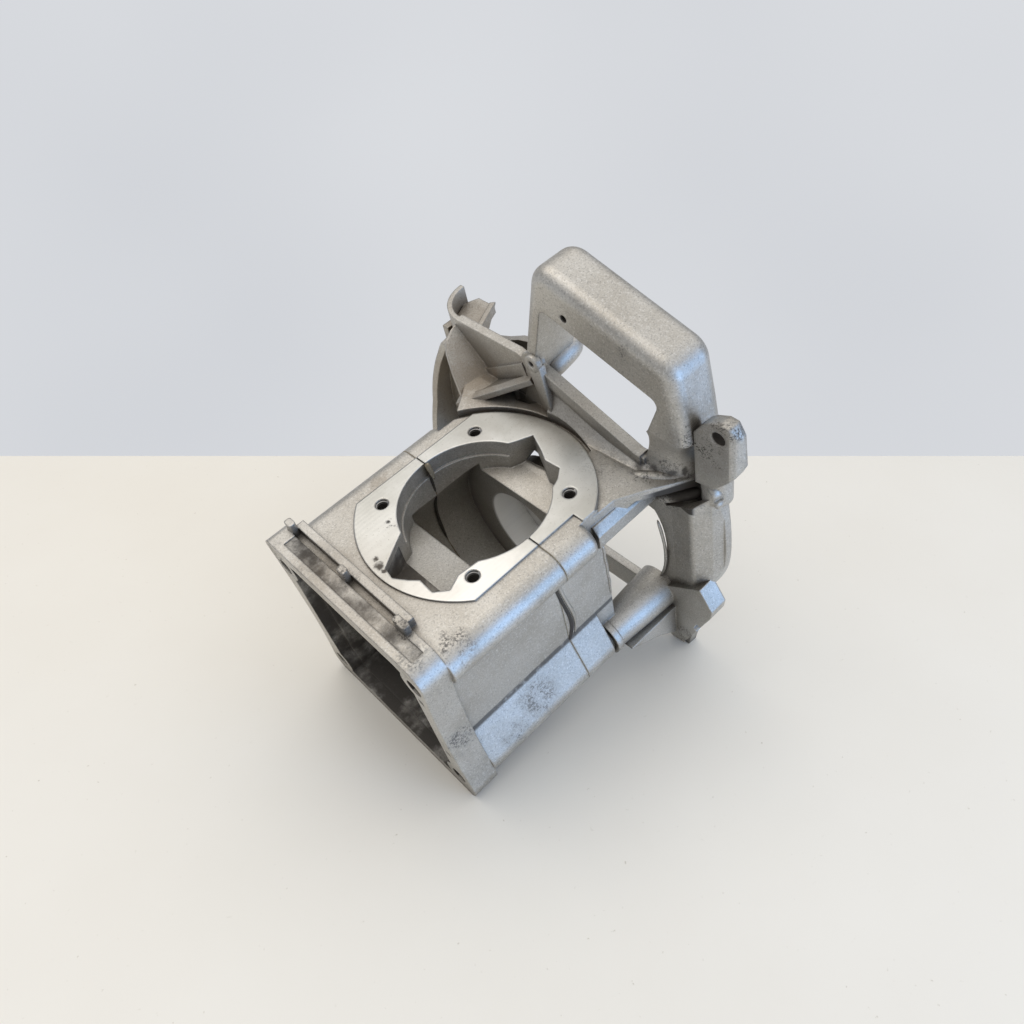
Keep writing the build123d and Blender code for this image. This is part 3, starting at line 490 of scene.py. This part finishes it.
strip("far_lug",
      ((68, 23.5, 11), (76, 23, 13.5), (84, 22.5, 15), (89, 22.5, 16), (91, 22.5, 16.3)),
      (8.2, 8.2, 8.0, 6.6, 3.4), finishes["rear_half"], fine=2)
strip("pocket_rim",
      ((71.5, -64.5, -4.6), (68.4, -73, -2.4), (66.8, -77.6, -3.4), (66.4, -79.3, -7),
       (67.2, -78.6, -11), (68.5, -76.5, -13.5)),
      (1.9, 2.3, 2.6, 2.5, 2.0, 1.0), finishes["rear_half"], fine=2)
strip("leg_fillet",
      ((53, -40, -5.6), (57.5, -47, -5.4), (62, -53, -6.0), (67, -59, -7.2), (72, -62.5, -8)),
      (2.6, 3.8, 3.8, 3.0, 1.6), finishes["rear_half"], fine=2)
drilled_boss("fin_boss", (58.3, 16.2, 27), 4.3, 3.4)
plate("boss_fin_plate",
      ((57.2, 20.4, 25), (57.2, 11.9, 26.5), (55.8, 7.4, 3.2), (57.6, 14.6, -0.8)),
      (4, 0, 0), 0.5)
strip("arch_flash",
      ((59.8, -49.2, -34), (59.6, -51.6, -42), (59.8, -52.6, -50), (59.5, -53.4, -58),
       (59.8, -52.2, -66), (59.6, -50.6, -73), (59.8, -47.5, -80)),
      (0.7, 1.0, 0.7, 1.1, 0.8, 1.0, 0.6), cast_edge)
# near-black strip in the joint on the far side: painted shade, partly dirt
strip("joint_inside",
      ((0, 33.4, -1), (0, 33.2, -8), (0, 33.4, -17), (0, 35.2, -24), (0, 39.6, -33.5), (0, 41.4, -44),
       (0, 39.2, -60)),
      (0.5, 0.8, 0.7, 0.9, 0.7, 0.8, 0.5), gap_shade_and_dirt)
strip("pocket_back",
      ((60.5, -48.5, -19.5), (64, -54, -19), (68, -60, -17.5), (72, -66, -15)),
      (3.0, 3.4, 3.4, 2.6), finishes["rear_half"], fine=2)
strip("gasket_tab",
      ((-0.3, 32.8, 1.0), (-0.2, 31.4, 0.4), (-0.3, 29.8, -3), (-0.2, 29.2, -7.5)),
      (0.9, 1.6, 1.4, 0.8), finishes["crankcase_gasket"])
plate("slanting_shelf",
      ((59.6, 20.5, 16.2), (38.6, 56.4, -2.2), (60.4, 51.5, -1.6), (60.4, 36, 6.8)),
      (0.6, 0.6, -3.2), 0.8)


# ---------------------------------------------------------------- table, light, camera

table_up = Vector((0.242, 0, 0.970)).normalized()
table_right = Vector((0.717, -0.674, -0.179)).normalized()
table_away = table_up.cross(table_right)
table_height = -0.1162

clear_selection()
bpy.ops.mesh.primitive_plane_add(size=1)
table = bpy.context.object
middle = table_up * table_height + table_right * 0.02 + table_away * -0.06
table.matrix_world = Matrix((table_right * 0.80, table_away * 0.50, table_up)).transposed().to_4x4()
table.location = middle
bpy.ops.object.transform_apply(location=True, rotation=True, scale=True)
table.name = "table_top"
cream, tree = new_tree("cream_table")
at = place(tree)
cloud = noise(tree, at, 9.0, 4.0).outputs[0]
pores = noise(tree, at, 420.0, 3.0).outputs[0]
colour = tint(tree, cloud, (0.80, 0.765, 0.69, 1), (0.86, 0.835, 0.77, 1))
colour = tint(tree, fade(tree, pores, 0.70, 0.8), colour, (0.62, 0.58, 0.5, 1))
finish_material(tree, {"Base Color": colour, "Roughness": 0.55})
table.data.materials.append(cream)

world = bpy.data.worlds.new("pale_room")
bpy.context.scene.world = world
world.use_nodes = True
tree = world.node_tree
tree.nodes.clear()
toward = put(tree, "TexCoord").outputs["Generated"]
rise = put(tree, "VectorMath", {0: toward, 1: list(table_up)}, operation="DOT_PRODUCT").outputs["Value"]
haze = put(tree, "TexNoise", {"Vector": toward, "Scale": 2.2, "Detail": 1.5}).outputs[0]
low = tint(tree, haze, (0.60, 0.62, 0.66, 1), (0.76, 0.775, 0.80, 1))
air = tint(tree, fade(tree, rise, -0.1, 0.1), low, (0.275, 0.295, 0.33, 1))
air = tint(tree, fade(tree, rise, 0.25, 0.8), air, (1.06, 1.05, 1.04, 1))
glow = put(tree, "Background", {"Color": air, "Strength": 1.0})
put(tree, "OutputWorld", {"Surface": glow.outputs[0]})


def soft_light(name, spot_at, aim, size, watts, colour):
    lamp = bpy.data.lights.new(name, "AREA")
    lamp.shape = "DISK"
    lamp.size = size
    lamp.energy = watts
    lamp.color = colour
    holder = bpy.data.objects.new(name, lamp)
    bpy.context.scene.collection.objects.link(holder)
    holder.location = spot_at
    holder.rotation_euler = (Vector(spot_at) - Vector(aim)).to_track_quat("Z", "Y").to_euler()


soft_light("key_light", (0.0, 0.55, 1.3), (0, 0, -0.05), 1.1, 4.5, (1.0, 0.92, 0.82))
soft_light("window_light", (0.3, -1.25, 0.06), (0, 0, -0.03), 1.0, 8.5, (0.26, 0.52, 0.98))

camera = bpy.data.cameras.new("camera")
camera.lens = 31.64
camera.sensor_width = 36
camera.clip_start = 0.01
viewer = bpy.data.objects.new("camera", camera)
bpy.context.scene.collection.objects.link(viewer)
viewer.location = (-0.12705, -0.23473, 0.28320)
viewer.rotation_euler = Euler((radians(40.719), radians(10.292), radians(-43.24)))
bpy.context.scene.camera = viewer
bpy.context.scene.view_settings.view_transform = "Standard"

bpy.context.view_layer.update()
